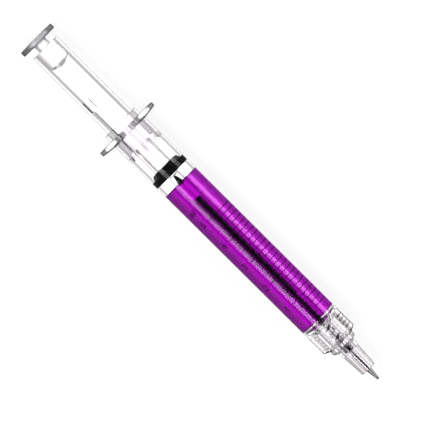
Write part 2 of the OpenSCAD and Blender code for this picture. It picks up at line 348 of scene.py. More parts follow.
@dataclass(frozen=True)
class DyedLiquid(Finish):
    """Coloured glycerine and water: clear, even and perfectly smooth.

    Attributes:
        ior: Refractive index of the liquid.
    """

    ior: float = 1.42

    def shader(self, tree: bpy.types.NodeTree) -> bpy.types.Node:
        """Adds a clear tinted liquid; its colour clouds very slightly where dye has settled.

        Args:
            tree: The material's node tree.

        Returns:
            The Principled node.
        """
        cloud = uneven(tree, 9.0, 0.97, 1.05, Space.ALONG_PEN)
        dye = add_node(
            tree,
            "ShaderNodeHueSaturation",
            values={"Color": srgb(self.colour)},
            links={"Value": cloud},
        )
        return add_node(
            tree,
            "ShaderNodeBsdfPrincipled",
            values={"Roughness": 0.0, "IOR": self.ior, "Transmission Weight": 1.0},
            links={"Base Color": dye.outputs["Color"]},
        )


@dataclass(frozen=True)
class ClearLiquidSkin(Finish):
    """The liquid's inner side, against a clear tube: it bends light and adds no colour of its own.

    Attributes:
        ior: Refractive index of the liquid.
    """

    ior: float = 1.42

    def shader(self, tree: bpy.types.NodeTree) -> bpy.types.Node:
        """Adds a smooth clear surface with the faintest film left on the tube.

        Args:
            tree: The material's node tree.

        Returns:
            The Principled node.
        """
        return add_node(
            tree,
            "ShaderNodeBsdfPrincipled",
            values={"Base Color": srgb(self.colour), "IOR": self.ior, "Transmission Weight": 1.0},
            links={"Roughness": uneven(tree, 4.0, 0.0, 0.01)},
        )


@dataclass(frozen=True)
class MouldedRubber(Finish):
    """Black butyl rubber, moulded and lightly oiled: near black with a soft satin shine."""

    def shader(self, tree: bpy.types.NodeTree) -> bpy.types.Node:
        """Adds satin rubber with a fine moulded grain.

        Args:
            tree: The material's node tree.

        Returns:
            The Principled node.
        """
        return add_node(
            tree,
            "ShaderNodeBsdfPrincipled",
            values={"Base Color": srgb(self.colour), "IOR": 1.52},
            links={
                "Roughness": uneven(tree, 1.2, 0.48, 0.56),
                "Normal": relief(tree, 0.15, 0.001, 0.1),
            },
        )


@dataclass(frozen=True)
class PadPrintedInk(Finish):
    """Solvent ink, pad printed on the barrel: thin, dark and slightly uneven in its cover.

    Attributes:
        grain_mm: Size of the print's grain.
        cover: How much of what lies behind it the ink hides, where it is thin and where it is thick.
    """

    grain_mm: float = 0.3
    cover: tuple[float, float] = (0.26, 0.42)

    def shader(self, tree: bpy.types.NodeTree) -> bpy.types.Node:
        """Adds matt ink whose cover and roughness break up at the grain of the print.

        Args:
            tree: The material's node tree.

        Returns:
            The Principled node.
        """
        return add_node(
            tree,
            "ShaderNodeBsdfPrincipled",
            values={"Base Color": srgb(self.colour), "IOR": 1.5, "Specular IOR Level": 0.2},
            links={
                "Roughness": uneven(tree, self.grain_mm, 0.5, 0.7, detail=3.0),
                "Alpha": uneven(tree, self.grain_mm, *self.cover, detail=3.0),
            },
        )


@dataclass(frozen=True)
class TranslucentPolypropylene(Finish):
    """Polypropylene in thin tubes: soft-shining, milky where thick, with faint lines along its length.

    Attributes:
        clear: Share of the light that passes; the rest scatters and gives the milkiness.
        rough_low: Roughness where the surface is smoothest.
        rough_high: Roughness where it is dullest.
        line_mm: Spacing of the faint lines that the tool leaves along it.
    """

    clear: float = 0.96
    rough_low: float = 0.04
    rough_high: float = 0.09
    line_mm: float = 0.3

    def shader(self, tree: bpy.types.NodeTree) -> bpy.types.Node:
        """Adds translucent plastic with die lines along the tube.

        Args:
            tree: The material's node tree.

        Returns:
            The Principled node.
        """
        return add_node(
            tree,
            "ShaderNodeBsdfPrincipled",
            values={"Base Color": srgb(self.colour), "IOR": 1.49, "Transmission Weight": self.clear},
            links={
                "Roughness": uneven(tree, 0.8, self.rough_low, self.rough_high),
                "Normal": relief(tree, self.line_mm, 0.004, 0.15, Space.ALONG_PEN, detail=3.0),
            },
        )


@dataclass(frozen=True)
class MouldedNylon(Finish):
    """Black nylon, moulded: dense and softly glossy."""

    def shader(self, tree: bpy.types.NodeTree) -> bpy.types.Node:
        """Adds black plastic with slight wear in its gloss.

        Args:
            tree: The material's node tree.

        Returns:
            The Principled node.
        """
        return add_node(
            tree,
            "ShaderNodeBsdfPrincipled",
            values={"Base Color": srgb(self.colour), "IOR": 1.53},
            links={"Roughness": uneven(tree, 0.7, 0.22, 0.34)},
        )


@dataclass(frozen=True)
class BallpointPaste(Finish):
    """Oil-based ballpoint ink: nearly black, wet and heavy, with a violet cast where it is thin."""

    def shader(self, tree: bpy.types.NodeTree) -> bpy.types.Node:
        """Adds wet, near-black paste.

        Args:
            tree: The material's node tree.

        Returns:
            The Principled node.
        """
        return add_node(
            tree,
            "ShaderNodeBsdfPrincipled",
            values={"Base Color": srgb(self.colour), "IOR": 1.48},
            links={"Roughness": uneven(tree, 1.5, 0.08, 0.2, Space.ALONG_PEN)},
        )


@dataclass(frozen=True)
class FollowerGrease(Finish):
    """Silicone grease behind the ink: water clear, with the slightest cloud in it."""

    def shader(self, tree: bpy.types.NodeTree) -> bpy.types.Node:
        """Adds clear grease with a faint uneven haze.

        Args:
            tree: The material's node tree.

        Returns:
            The Principled node.
        """
        return add_node(
            tree,
            "ShaderNodeBsdfPrincipled",
            values={"Base Color": srgb(self.colour), "IOR": 1.47, "Transmission Weight": 1.0},
            links={"Roughness": uneven(tree, 0.5, 0.005, 0.02)},
        )


@dataclass(frozen=True)
class TurnedMetal(Finish):
    """Metal cut or drawn round its axis, with fine rings that stretch its highlights.

    Attributes:
        rough_low: Roughness on the crest of a ring.
        rough_high: Roughness between rings.
        ring_mm: Spacing of the rings. Real tool marks are near 0.02 mm; they are drawn coarser so that they
            show.
        rings: How much of the rings shows.
    """

    rough_low: float = 0.3
    rough_high: float = 0.42
    ring_mm: float = 0.12
    rings: float = 0.25

    def shader(self, tree: bpy.types.NodeTree) -> bpy.types.Node:
        """Adds metal with rings round the pen's axis.

        Args:
            tree: The material's node tree.

        Returns:
            The Principled node.
        """
        rough = (self.rough_low, self.rough_high)
        return add_node(
            tree,
            "ShaderNodeBsdfPrincipled",
            values={"Base Color": srgb(self.colour), "Metallic": 1.0},
            links={
                "Roughness": uneven(tree, self.ring_mm, *rough, Space.ROUND_PEN, detail=3.0),
                "Normal": relief(tree, self.ring_mm, 0.01, self.rings, Space.ROUND_PEN, detail=3.0),
            },
        )


@dataclass(frozen=True)
class OpalAcrylic(Finish):
    """Opal acrylic sheet lit from below: an even white table that leaves almost no shadow.

    Attributes:
        glow: Strength of the light that comes through the sheet.
    """

    glow: float = 0.66

    def shader(self, tree: bpy.types.NodeTree) -> bpy.types.Node:
        """Adds a matt white sheet with an even glow.

        Args:
            tree: The material's node tree.

        Returns:
            The Principled node.
        """
        return add_node(
            tree,
            "ShaderNodeBsdfPrincipled",
            values={
                "Base Color": srgb(self.colour),
                "Specular IOR Level": 0.0,
                "Emission Color": srgb("#FFFFFF"),
                "Emission Strength": self.glow,
            },
            links={"Roughness": uneven(tree, 30.0, 0.7, 0.8)},
        )


# ---------------------------------------------------------------- the pen's finishes

# Water clear, so the eye reads it only by its dark bore lines and its long highlights.
CLEAR = MouldedPolystyrene("moulded_polystyrene", "#FCFBFC", "clear_polystyrene")
# The same plastic with a grey base colour and more roughness: painted shade for the darkness of thick clear
# plastic seen edge-on, on the thumb disc's rim and the wing tips; it closes the clear shapes.
PAINTED_SHADE_RIM = MouldedPolystyrene(
    "moulded_polystyrene_painted_shade_rim",
    "#A9AAAC",
    "clear_polystyrene",
    rough_low=0.08,
    rough_high=0.16,
)
# Thicker plastic with more flow marks, so the nose glitters a little.
CLEAR_NOSE = MouldedPolystyrene("moulded_polystyrene_nose", "#FBF8FA", "clear_polystyrene", ripple=0.04)
# The one strong colour: saturated purple, darker towards both edges.
LIQUID = DyedLiquid("dyed_glycerine", "#C611D0", "purple_liquid")
# Keeps the tint from counting twice round the inner tube.
LIQUID_SKIN = ClearLiquidSkin("dyed_glycerine_inner_face", "#FFFFFF", "purple_liquid")
# A dense black stop with soft grey highlights, between the clear parts and the purple.
RUBBER = MouldedRubber("moulded_butyl_rubber", "#0B0B0C", "black_rubber")
# Thin dark marks that dull the barrel's highlight where they cross it.
PRINT = PadPrintedInk("pad_printed_ink", "#2A0830", "scale_ink")
# Hardly seen in the liquid; it only softens the ink's outline.
TUBING = TranslucentPolypropylene("extruded_polypropylene", "#FDFCFD", "refill_plastic", 1.0, 0.01, 0.025)
# Slightly milky, so the spring's coils stand out in front of it.
HOLDER = TranslucentPolypropylene("moulded_polypropylene", "#F7F5F8", "refill_plastic", 0.97, 0.04, 0.08)
# A small black point behind the liquid's surface.
NYLON = MouldedNylon("moulded_black_nylon", "#0A0A0B", "black_plastic")
# The dark core that runs down the middle of the liquid.
PASTE = BallpointPaste("ballpoint_paste", "#16041A", "writing_ink")
# Clear, so the ink's core starts abruptly in front of it.
GREASE = FollowerGrease("silicone_grease", "#FBF9FB", "follower_grease")
# Bright silver cone with fine turned rings.
NICKEL = TurnedMetal("turned_nickel_silver", "#D6D6D8", "nickel_silver")
# A darker, harder glint at the very tip.
CARBIDE = TurnedMetal(
    "ground_tungsten_carbide",
    "#9C9CA0",
    "carbide_ball",
    rough_low=0.1,
    rough_high=0.16,
    rings=0.05,
)
# Smooth grey wire whose turns read as dark beads.
WIRE = TurnedMetal(
    "drawn_spring_steel",
    "#A9AAB0",
    "spring_steel",
    rough_low=0.08,
    rough_high=0.14,
    rings=0.05,
)
# Even white under and round the pen, with almost no shadow.
TABLE = OpalAcrylic("opal_acrylic_sheet", "#8C8C8C", "")


# ---------------------------------------------------------------- the pen's own coordinates


@dataclass(frozen=True)
class Span:
    """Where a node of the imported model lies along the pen.

    Attributes:
        rear: Station of its rear end, in millimetres.
        front: Station of its front end, in millimetres.
        radius: Half of its height, in millimetres.
    """

    rear: float
    front: float
    radius: float


@dataclass(frozen=True)
class PenAxis:
    """The pen's axis in the row frame.

    Attributes:
        rear_x: Where station 0 is, in metres.
        height: Height of the axis above the floor, in metres.
    """

    rear_x: float
    height: float

    @classmethod
    def from_frame(cls) -> "PenAxis":
        """Returns the axis, measured from the thumb press's and the barrel's boxes."""
        low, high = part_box("outer_barrel")
        return cls(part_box("thumb_press")[0][0], (low[2] + high[2]) / 2)

    def span(self, node: str) -> Span:
        """Measures a node along the pen.

        Args:
            node: The node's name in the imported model.

        Returns:
            Its rear and front stations and its radius.
        """
        low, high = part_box(node)
        return Span(
            (low[0] - self.rear_x) / MM,
            (high[0] - self.rear_x) / MM,
            (high[2] - low[2]) / 2 / MM,
        )

    def point(self, station: float, radius: float, clock: float) -> Vector:
        """Turns pen coordinates to the row frame.

        Args:
            station: Millimetres from the thumb press's outer face.
            radius: Millimetres from the axis.
            clock: Degrees from straight up, positive towards -Y.

        Returns:
            The point in metres.
        """
        turn = math.radians(clock)
        return Vector(
            (
                self.rear_x + station * MM,
                -radius * math.sin(turn) * MM,
                self.height + radius * math.cos(turn) * MM,
            )
        )


# ---------------------------------------------------------------- mesh helpers


def rounded(corners: Sequence[Corner], steps: int = 5) -> Outline:
    """Rounds the corners of a closed half outline.

    Args:
        corners: Station, radius and rounding of each corner, in millimetres.
        steps: How many edges each rounding has.

    Returns:
        The outline's points, in order.
    """
    points: Outline = []
    for i, (s, r, cut) in enumerate(corners):
        here = Vector((s, r))
        if cut <= 0:
            points.append((s, r))
            continue
        before = Vector(corners[i - 1][:2]) - here
        after = Vector(corners[(i + 1) % len(corners)][:2]) - here
        half = before.angle(after) / 2
        back = min(cut / math.tan(half), before.length * 0.49, after.length * 0.49)
        start = here + before.normalized() * back
        end = here + after.normalized() * back
        for k in range(steps + 1):
            t = k / steps
            bend = start * (1 - t) ** 2 + here * 2 * t * (1 - t) + end * t**2
            points.append((bend.x, bend.y))
    return points


def held(outline: Outline, margin: float = 0.12, longest: float = 1.5) -> Outline:
    """Adds a point near each end of every long edge, so that long faces shade straight to their ends.

    Args:
        outline: Station and radius of each point, in order round a closed half outline.
        margin: Distance of the new points from the edge's ends.
        longest: Edges shorter than this are left alone.

    Returns:
        The outline with its new points.
    """
    points: Outline = []
    for i, (s, r) in enumerate(outline):
        points.append((s, r))
        ahead = outline[(i + 1) % len(outline)]
        edge = Vector(ahead) - Vector((s, r))
        if edge.length > longest and max(r, ahead[1]) > TINY_MM:
            step = edge.normalized() * margin
            points += [(s + step.x, r + step.y), (ahead[0] - step.x, ahead[1] - step.y)]
    return points


Warp = Callable[[float, float, float], tuple[float, float]]


def turned_mesh(
    axis: PenAxis,
    outline: Outline,
    segments: int = 96,
    warp: Warp | None = None,
    start_clock: float = 0.0,
) -> bmesh.types.BMesh:
    """Turns a closed half outline round the pen's axis.

    Args:
        axis: The pen's axis.
        outline: Station and radius of each point, in order round the outline.
        segments: How many segments the round has.
        warp: Moves a point's station and radius by where it is round the pen, or None.
        start_clock: Clock angle of the first segment, in degrees.

    Returns:
        The closed mesh.
    """
    mesh = bmesh.new()
    rings: list[list[bmesh.types.BMVert]] = []
    for s, r in held(outline):
        if r < TINY_MM:
            rings.append([mesh.verts.new(axis.point(s, 0.0, 0.0))])
            continue
        ring = []
        for k in range(segments):
            clock = start_clock + 360.0 * k / segments
            station, radius = warp(s, r, clock) if warp else (s, r)
            ring.append(mesh.verts.new(axis.point(station, radius, clock)))
        rings.append(ring)
    for i, ring in enumerate(rings):
        other = rings[(i + 1) % len(rings)]
        if len(ring) == 1 and len(other) == 1:
            continue
        for k in range(segments):
            n = (k + 1) % segments
            corners = (
                ring[k % len(ring)],
                ring[n % len(ring)],
                other[n % len(other)],
                other[k % len(other)],
            )
            mesh.faces.new(list(dict.fromkeys(corners)))
    bmesh.ops.recalc_face_normals(mesh, faces=mesh.faces[:])
    return mesh


def piece_from(
    mesh: bmesh.types.BMesh,
    name: str,
    finishes: Sequence[Finish],
    body: str,
    nodes: Iterable[str] = (),
    sharp_degrees: float = 35.0,
) -> bpy.types.Object:
    """Makes a piece of the pen from a mesh: smooth shaded, dressed and riding on its body.

    Args:
        mesh: The mesh in the row frame; it is freed here.
        name: The piece's name.
        finishes: Its finishes, in the order of its material slots.
        body: The CAD body that it rides on.
        nodes: The CAD nodes that it stands for.
        sharp_degrees: Edges that bend more than this stay sharp.

    Returns:
        The new piece.
    """
    data = bpy.data.meshes.new(name)
    mesh.to_mesh(data)
    mesh.free()
    for polygon in data.polygons:
        polygon.use_smooth = True
    data.set_sharp_from_angle(angle=math.radians(sharp_degrees))
    piece = bpy.data.objects.new(name, data)
    bpy.context.scene.collection.objects.link(piece)
    for finish in finishes:
        data.materials.append(finish.material())
    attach(piece, body)
    if nodes:
        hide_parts(*nodes)
    log.info("%s: %d faces, rides on %s", name, len(data.polygons), body)
    return piece


def cut_away(
    piece: bpy.types.Object, cutters: Sequence[bmesh.types.BMesh], sharp_degrees: float = 30.0
) -> None:
    """Cuts closed shapes out of a piece's mesh.

    Args:
        piece: The piece to cut.
        cutters: The closed shapes, in the row frame; they are freed here.
        sharp_degrees: Edges that bend more than this stay sharp.
    """
    for cutter in cutters:
        data = bpy.data.meshes.new("cutter")
        cutter.to_mesh(data)
        cutter.free()
        tool = bpy.data.objects.new("cutter", data)
        bpy.context.scene.collection.objects.link(tool)
        modifier = piece.modifiers.new("cut", "BOOLEAN")
        modifier.operation = "DIFFERENCE"
        modifier.solver = "EXACT"
        modifier.object = tool
        bpy.context.view_layer.update()
        depsgraph = bpy.context.evaluated_depsgraph_get()
        cut = bpy.data.meshes.new_from_object(piece.evaluated_get(depsgraph), depsgraph=depsgraph)
        piece.modifiers.clear()
        old = piece.data
        piece.data = cut
        cut.name = old.name + "_cut"
        bpy.data.meshes.remove(old)
        bpy.data.objects.remove(tool)
        bpy.data.meshes.remove(data)
    for polygon in piece.data.polygons:
        polygon.use_smooth = True
    piece.data.set_sharp_from_angle(angle=math.radians(sharp_degrees))


def dress_beyond(
    axis: PenAxis,
    mesh: bmesh.types.BMesh,
    radius: float,
    stations: tuple[float, float],
) -> None:
    """Gives the outlying faces of a mesh its second finish.

    Args:
        axis: The pen's axis.
        mesh: The mesh in the row frame.
        radius: Faces further than this from the axis are changed.
        stations: Only faces between these stations are changed.
    """
    middle = axis.point(0.0, 0.0, 0.0)
    for face in mesh.faces:
        centre = (face.calc_center_median() - middle) / MM
        outlying = math.hypot(centre.y, centre.z) > radius
        if outlying and stations[0] <= centre.x <= stations[1] + NEAR_MM:
            face.material_index = 1


def rod(
    axis: PenAxis, stations: tuple[float, float], away: float, clock: float, radius: float
) -> bmesh.types.BMesh:
    """Makes a round-ended bar that runs along the pen, beside its axis.

    Args:
        axis: The pen's axis.
        stations: Its rear and front stations.
        away: Distance of its own axis from the pen's.
        clock: Its clock angle.
        radius: Its radius, in millimetres.

    Returns:
        The closed bar.
    """
    rear, front = stations
    outline = rounded(
        [(rear, 0.0, 0.0), (rear, radius, radius * 0.8), (front, radius, radius * 0.8), (front, 0.0, 0.0)]
    )
    mesh = turned_mesh(axis, outline, segments=24)
    shift = axis.point(0.0, away, clock) - axis.point(0.0, 0.0, 0.0)
    bmesh.ops.translate(mesh, verts=mesh.verts[:], vec=shift)
    return mesh


def block(
    axis: PenAxis, stations: tuple[float, float], radii: tuple[float, float], clock: float, width: float
) -> bmesh.types.BMesh:
    """Makes a straight-sided block set on the pen's round.

    Args:
        axis: The pen's axis.
        stations: Its rear and front stations.
        radii: Its inner and outer distances from the axis, at its middle.
        clock: The clock angle of its middle.
        width: Its width across, in millimetres.

    Returns:
        The closed block.
    """
    turn = math.radians(clock)
    out = Vector((0.0, -math.sin(turn), math.cos(turn)))
    side = Vector((0.0, -math.cos(turn), -math.sin(turn)))
    centre = axis.point(0.0, 0.0, 0.0)
    mesh = bmesh.new()
    verts = [
        mesh.verts.new(centre + Vector((s * MM, 0, 0)) + out * (r * MM) + side * (w * width / 2 * MM))
        for s in stations
        for r in radii
        for w in (-1, 1)
    ]
    for face in ((0, 1, 3, 2), (4, 6, 7, 5), (0, 4, 5, 1), (2, 3, 7, 6), (0, 2, 6, 4), (1, 5, 7, 3)):
        mesh.faces.new([verts[i] for i in face])
    bmesh.ops.recalc_face_normals(mesh, faces=mesh.faces[:])
    return mesh


# ---------------------------------------------------------------- the barrel and its fixed pieces


@dataclass
class Barrel:
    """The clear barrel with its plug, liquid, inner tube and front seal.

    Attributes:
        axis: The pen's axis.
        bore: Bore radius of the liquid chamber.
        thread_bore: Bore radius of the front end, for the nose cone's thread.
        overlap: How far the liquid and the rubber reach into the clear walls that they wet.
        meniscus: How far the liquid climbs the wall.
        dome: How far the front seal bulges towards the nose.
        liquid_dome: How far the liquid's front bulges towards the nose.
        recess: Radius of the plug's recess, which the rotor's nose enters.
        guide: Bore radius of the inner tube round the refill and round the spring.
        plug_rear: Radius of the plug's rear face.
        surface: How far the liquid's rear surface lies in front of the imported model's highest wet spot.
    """

    axis: PenAxis
    bore: float = 5.2
    thread_bore: float = 4.05
    overlap: float = 0.02
    meniscus: float = 0.3
    dome: float = 0.8
    liquid_dome: float = 0.25
    recess: float = 3.6
    guide: tuple[float, float] = (1.58, 1.8)
    plug_rear: float = 4.5
    surface: float = 1.1

    def build(self) -> None:
        """Builds every piece of the barrel."""
        self.tube()
        self.plug()
        self.inner_tube()
        self.liquid()
        self.seal()

    def tube(self) -> None:
        """Builds the barrel: a plain tube with a rounded front rim and a stepped bore."""
        span = self.axis.span("outer_barrel")
        seal = self.axis.span("front_seal")
        rim = self.thread_bore + 0.45
        outline = rounded(
            [
                (span.rear, span.radius, 0.1),
                (span.front - 0.8, span.radius, 0.5),
                (span.front, rim, 0.15),
                (span.front, self.thread_bore, 0.1),
                (seal.front, self.thread_bore, 0.05),
                (seal.front, self.bore, 0.05),
                (span.rear, self.bore, 0.1),
            ]
        )
        mesh = turned_mesh(self.axis, outline, segments=128)
        piece_from(mesh, "barrel_tube", [CLEAR], "barrel", ["outer_barrel"])

    def plug(self) -> None:
        """Builds the rubber plug: flat rear face, rounded shoulder, sealing rim and a bore for the pin."""
        span = self.axis.span("rubber_plug")
        wide = self.bore + self.overlap
        recess = span.rear + 1.8
        tube = self.axis.span("inner_tube").radius
        outline = rounded(
            [
                (span.rear, self.plug_rear, 0.5),
                (span.rear + 1.25, wide - 0.15, 0.2),
                (span.rear + 1.4, wide, 0.1),
                (span.front, wide, 0.12),
                (span.front, tube - self.overlap, 0.1),
                (recess, tube - self.overlap, 0.0),
                (recess, self.recess, 0.1),
                (span.rear, self.recess, 0.2),
            ]
        )
        mesh = turned_mesh(self.axis, outline, segments=96)
        piece_from(mesh, "rubber_plug_piece", [RUBBER], "barrel", ["rubber_plug"])

    def inner_tube(self) -> None:
        """Builds the clear tube round the refill, with a wider bore in front for the spring."""
        span = self.axis.span("inner_tube")
        spring_rear = self.axis.span("return_spring").rear
        outline = rounded(
            [
                (span.rear, span.radius, 0.08),
                (span.front, span.radius, 0.08),
                (span.front, self.guide[1], 0.08),
                (spring_rear - 0.8, self.guide[1], 0.1),
                (spring_rear - 1.6, self.guide[0], 0.1),
                (span.rear, self.guide[0], 0.08),
            ]
        )
        mesh = turned_mesh(self.axis, outline, 64)
        piece_from(mesh, "inner_tube_piece", [CLEAR], "barrel", ["inner_tube"])

    def domed(self, wall_station: float, bulge: float, wall: float, tube: float) -> Outline:
        """Draws a face that bulges towards the nose, from the barrel's wall in to the inner tube.

        Args:
            wall_station: Station where the face meets the wall.
            bulge: How far it bulges.
            wall: Radius at the wall.
            tube: Radius at the inner tube.

        Returns:
            The face's points, from the wall inwards.
        """
        steps = 8
        face: Outline = []
        for k in range(steps + 1):
            t = k / steps
            face.append((wall_station + bulge * (1 - (1 - t) ** 2), wall + (tube - wall) * t))
        return face

    def liquid(self) -> None:
        """Builds the liquid: a ring round the inner tube whose rear surface climbs both walls."""
        span = self.axis.span("coloured_liquid")
        seal = self.axis.span("front_seal")
        tube = self.axis.span("inner_tube").radius - self.overlap
        wall = self.bore + self.overlap
        low = span.rear + self.surface
        inner_share = 0.3  # the climb at the inner tube, against the climb at the barrel
        falloff = 9.0  # how fast the climb dies away from either wall
        steps = 16
        surface: Outline = []
        for k in range(steps + 1):
            t = k / steps
            climb = inner_share * math.exp(-t * falloff) + math.exp(-(1 - t) * falloff)
            surface.append((low - self.meniscus * climb, tube + (wall - tube) * t))
        outline = surface + self.domed(seal.rear + self.overlap, self.liquid_dome, wall, tube)
        mesh = turned_mesh(self.axis, outline, segments=128)
        middle = self.axis.point(0.0, 0.0, 0.0)
        for face in mesh.faces:
            centre = face.calc_center_median()
            away = math.hypot(centre.y - middle.y, centre.z - middle.z) / MM
            face.material_index = 1 if away < tube + 0.05 else 0
        piece_from(mesh, "coloured_liquid_piece", [LIQUID, LIQUID_SKIN], "barrel", ["coloured_liquid"])

    def seal(self) -> None:
        """Builds the clear ring that closes the chamber's front, domed like the liquid's front."""
        span = self.axis.span("front_seal")
        tube = self.axis.span("inner_tube").radius
        front = self.domed(span.front - self.dome, self.dome, self.bore, tube)
        outline = self.domed(span.rear, self.liquid_dome, self.bore, tube) + front[::-1]
        mesh = turned_mesh(self.axis, outline, 96)
        piece_from(mesh, "front_seal_piece", [CLEAR], "barrel", ["front_seal"])


@dataclass
class PrintedScale:
    """The printed scale: short and long ticks round the barrel, and a numeral at each long one.

    Attributes:
        axis: The pen's axis.
        lead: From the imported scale's rear end to the middle of the first tick.
        pitch: Spacing of the ticks.
        ticks: Number of ticks.
        long_every: Ticks from one long tick to the next.
        width: Width of a tick along the pen.
        thickness: Height of the ink above the barrel.
        short_clock: Clock angles between which a short tick runs.
        long_clock: Clock angles between which a long tick runs.
        numeral_clock: Clock angle of the middle of the numerals.
        numeral_height: Height of the numerals.
        boldness: How far the numerals' outlines are grown.
        unit_gap: Pitches from the first tick back to the unit mark.
    """

    axis: PenAxis
    lead: float = 0.13
    pitch: float = 1.685
    ticks: int = 24
    long_every: int = 5
    width: float = 0.3
    thickness: float = 0.02
    short_clock: tuple[float, float] = (-78.0, -18.0)
    long_clock: tuple[float, float] = (-78.0, 23.0)
    numeral_clock: float = 45.0
    numeral_height: float = 2.0
    boldness: float = 0.07
    unit_gap: float = 2.7

    def build(self) -> None:
        """Builds the ticks and the numerals."""
        radius = self.axis.span("outer_barrel").radius
        first = self.axis.span("graduation_scale").rear + self.lead
        mesh = bmesh.new()
        for i in range(self.ticks):
            arc = self.long_clock if i % self.long_every == 0 else self.short_clock
            self.band(mesh, first + i * self.pitch, radius, arc)
        bmesh.ops.recalc_face_normals(mesh, faces=mesh.faces[:])
        piece_from(mesh, "scale_ticks", [PRINT], "barrel", ["graduation_scale"])
        longs = list(range(0, self.ticks, self.long_every))
        for rank, i in enumerate(longs):
            self.numeral(str(len(longs) - rank), first + i * self.pitch, radius)
        self.numeral("ml", first - self.unit_gap * self.pitch, radius)

    def band(
        self,
        mesh: bmesh.types.BMesh,
        station: float,
        radius: float,
        arc: tuple[float, float],
    ) -> None:
        """Adds one tick to the mesh.

        Args:
            mesh: The mesh that holds the ticks.
            station: The tick's middle along the pen.
            radius: The barrel's radius.
            arc: The clock angles between which it runs.
        """
        step_degrees = 4
        steps = max(2, round((arc[1] - arc[0]) / step_degrees))
        rows = []
        for k in range(steps + 1):
            clock = arc[0] + (arc[1] - arc[0]) * k / steps
            rows.append(
                [
                    mesh.verts.new(self.axis.point(station + ds, radius + dr, clock))
                    for ds, dr in (
                        (-self.width / 2, -self.thickness),
                        (self.width / 2, -self.thickness),
                        (self.width / 2, self.thickness),
                        (-self.width / 2, self.thickness),
                    )
                ]
            )
        for a, b in zip(rows, rows[1:]):
            for j in range(4):
                n = (j + 1) % 4
                mesh.faces.new([a[j], a[n], b[n], b[j]])
        mesh.faces.new(rows[0])
        mesh.faces.new(rows[-1])

    def numeral(self, text: str, station: float, radius: float) -> None:
        """Builds one numeral, wrapped round the barrel and upright when the tip points down.

        Args:
            text: The numeral.
            station: Station of its middle.
            radius: The barrel's radius.
        """
        curve = bpy.data.curves.new("numeral", "FONT")
        curve.body = text
        size_per_height = 1.4  # a figure is this much lower than the font's size
        curve.size = self.numeral_height * size_per_height
        curve.align_x = "CENTER"
        curve.align_y = "CENTER"
        curve.extrude = self.thickness
        curve.offset = self.boldness
        flat = bpy.data.objects.new("numeral", curve)
        bpy.context.scene.collection.objects.link(flat)
        bpy.context.view_layer.update()
        depsgraph = bpy.context.evaluated_depsgraph_get()
        data = bpy.data.meshes.new_from_object(flat.evaluated_get(depsgraph), depsgraph=depsgraph)
        mesh = bmesh.new()
        mesh.from_mesh(data)
        for vert in mesh.verts:
            across, up, lift = vert.co
            clock = self.numeral_clock - math.degrees(across / radius)
            vert.co = self.axis.point(station - up, radius + lift, clock)
        bmesh.ops.remove_doubles(mesh, verts=mesh.verts[:], dist=0.001 * MM)
        bmesh.ops.recalc_face_normals(mesh, faces=mesh.faces[:])
        bpy.data.objects.remove(flat)
        bpy.data.curves.remove(curve)
        bpy.data.meshes.remove(data)
        piece_from(mesh, f"numeral_{text}", [PRINT], "barrel")


